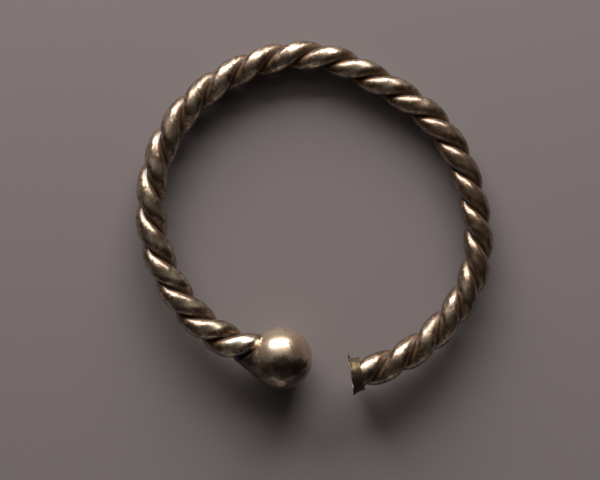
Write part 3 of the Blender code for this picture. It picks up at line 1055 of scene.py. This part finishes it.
def torn_point(along, radius, around, out):
    """A point of the torn sheet, at a distance past the rods' end and a turn round them."""
    near_rim = max(0.0, along / TORN_PROFILE[-1][0])
    point = rods_end + torn_axis * along + out * radius
    grip = GRIP_UNEVEN * max(0.0, math.sin(around)) + GRIP_UNEVEN * noise.noise(point / GRIP_GRAIN)
    pull = torn_reach(around) * near_rim - grip * max(0.0, -along / TORN_GRIP)
    stand = spike(around) * max(0.0, near_rim - SPIKE_FROM) / SPIKE_RISE
    dent = sink(point, *TORN_DENTS) * near_rim
    return point + torn_axis * pull + out * (stand - dent)


def torn_rings():
    """Rings along the outside of the sheet to its rim, and back along the inside."""
    alongs, radii_out = zip(*TORN_PROFILE)
    steps = np.linspace(alongs[0], alongs[-1], TORN_STEPS + 1)
    outside = [(along, float(np.interp(along, alongs, radii_out))) for along in steps]
    inside = [(along, radius - SHEET) for along, radius in reversed(outside) if along > TORN_FLOOR]
    outs = circle_directions(torn_axis)
    return [
        [torn_point(along, radius, 2 * math.pi * k / SKIN_SIDES, out) for k, out in enumerate(outs)]
        for along, radius in outside + inside
    ]


mesh = bmesh.new()
add_rings(mesh, torn_rings())
rim = mesh.verts.layers.float.new("rim")
for vert in mesh.verts:
    vert[rim] = (vert.co - rods_end).dot(torn_axis) * 1000
mesh.transform(to_table)
torn = smooth_piece("torn_neck_sheet", mesh, TORN_SHARP_EDGE)
print(torn.name, len(torn.data.vertices), "points")

# %% [markdown]
# The torn sheet was never polished again, so it is dull olive and brown, with bare metal only
# along the broken rim. The attribute "rim" tells the finish how many millimetres past the rods'
# end a point is. Dark marks lie on the upper side, most of them towards the hoop's outside, where
# the sheet lies in shade: they are partly stains and partly painted shade.

# %% Finish of the torn neck
TORN_METAL = ((0.19, 0.145, 0.085), 0.48, 0.85)
# ((size, seed, coverage, softness), look)
TORN_FILMS = (
    ((0.0016, 62.0, 0.55, 0.15), ((0.13, 0.10, 0.038), 0.55, 0.7, 0.85)),
    ((0.0012, 65.0, 0.50, 0.08), ((0.09, 0.05, 0.02), 0.55, 0.6, 0.9)),
)
BARE_RIM = ((0.78, 0.70, 0.56), 0.33, 0.9, 0.85)
BARE_FROM, BARE_TO = 1.95, 2.25
TORN_STAIN_AND_SHADE = ((0.035, 0.022, 0.010), 0.55, 0.5, 0.9)
# Painted shade, partly stains: dark spots on the side of the sheet towards the hoop's outside.
# (place from the rods' end, reach)
TORN_STAINS_AND_SHADE = (
    ((-0.0004, -0.0010, 0.0040), 0.0020), ((-0.0010, -0.0026, 0.0034), 0.0026),
    ((-0.0006, -0.0038, 0.0024), 0.0028), ((-0.0004, 0.0008, 0.0040), 0.0010),
)

finish = Finish("torn sheet", *TORN_METAL)
marks = finish.group(MARKS, Seed=61.0, Dents=1.0, Pits=0.8, Scratches=0.4)
for film in TORN_FILMS:
    finish.film(*film)
fray = finish.patches(0.0011, 66.0, 0.5, 0.3)
past_end = frayed(finish.attribute("rim"), fray, 0.5)
finish.layer(smooth_step(past_end, BARE_FROM, BARE_TO), *BARE_RIM)
# Partly stains, partly painted shade.
for offset, reach in TORN_STAINS_AND_SHADE:
    finish.spot(rods_end + Vector(offset), reach, TORN_STAIN_AND_SHADE, softness=0.35, raggedness=0.8)
torn.data.materials.append(finish.done(marks["Height"], bump=0.6))
print("finish", torn.data.materials[0].name)

# %% [markdown]
# ## Handing the pieces over
#
# Every piece rides on the ring's one body and takes the place of the plain solid that has the same
# form.

# %% Ride and replace
for piece, node in (
    (rods[0], "strand_1"), (rods[1], "strand_2"), (ball, "ball_terminal"), (torn, "torn_neck"),
):
    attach(piece, "root")
    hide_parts(node)
    size = [high - low for low, high in zip(piece.bound_box[0], piece.bound_box[6])]
    print(piece.name, "stands for", node, "size in mm", in_mm(size, 1))

# %% [markdown]
# ## The table
#
# The ring lies on a plain pale table, far wider than the view. The table throws light back up
# into the shadows, so its colour counts too.

# %% Table
TABLE_HALF_WIDTH = 1.5
TABLE_COLOUR = (0.245, 0.209, 0.214, 1.0)
TABLE_ROUGHNESS = 0.9

mesh = bmesh.new()
bmesh.ops.create_grid(mesh, x_segments=1, y_segments=1, size=TABLE_HALF_WIDTH)
data = bpy.data.meshes.new("table")
mesh.to_mesh(data)
mesh.free()
finish = bpy.data.materials.new("pale table")
finish.use_nodes = True
shader = finish.node_tree.nodes["Principled BSDF"]
fill_inputs(shader, {"Base Color": TABLE_COLOUR, "Roughness": TABLE_ROUGHNESS})
data.materials.append(finish)
table = add_object("table", data)
print(table.name, "is", 2 * TABLE_HALF_WIDTH, "m wide")

# %% [markdown]
# ## The light
#
# Metal shows what is round it, so the lamps matter as much as the finish. A broad window lamp
# stands low behind the ring and runs bright along every lobe. A weaker glow above it and one
# from the ceiling widen that highlight. Two faint warm lamps in front keep the near flanks from
# going black. The rest of the room is nearly dark, which gives the other flanks their depth.

# %% Lamps and room
# (name, elevation, azimuth, distance, (width, height), watts, colour), where azimuth 0 is
# behind the ring and 90 to its right
LAMPS = (
    ("window lamp", 24.5, -5.0, 0.8, (0.92, 0.40), 11.6, (1.0, 0.98, 0.94)),
    ("window glow", 44.0, -6.0, 0.9, (1.2, 0.50), 1.2, (1.0, 0.95, 0.88)),
    ("ceiling glow", 66.0, -40.0, 1.4, (1.0, 0.7), 0.36, (1.0, 0.93, 0.84)),
    ("front fill", 34.0, 178.0, 1.5, (2.0, 0.9), 0.6, (1.0, 0.90, 0.80)),
    ("low front glow", 5.0, 178.0, 1.2, (1.5, 0.18), 0.8, (1.0, 0.92, 0.84)),
)
ROOM_COLOUR = (0.004, 0.0036, 0.0034, 1.0)

for name, elevation, azimuth, distance, size, watts, colour in LAMPS:
    light = bpy.data.lights.new(name, "AREA")
    light.shape = "RECTANGLE"
    light.size, light.size_y = size
    light.energy = watts
    light.color = colour
    rise, turn = math.radians(elevation), math.radians(azimuth)
    level = math.cos(rise)
    towards = Vector((math.sin(turn) * level, math.cos(turn) * level, math.sin(rise)))
    facing = towards.to_track_quat("Z", "Y").to_matrix().to_4x4()
    add_object(name, light).matrix_world = Matrix.Translation(towards * distance) @ facing
room = bpy.data.worlds.new("dim room")
room.use_nodes = True
room.node_tree.nodes["Background"].inputs["Color"].default_value = ROOM_COLOUR
bpy.context.scene.world = room
bpy.context.scene.view_settings.view_transform = "Standard"
print("lamps", [lamp[0] for lamp in LAMPS])
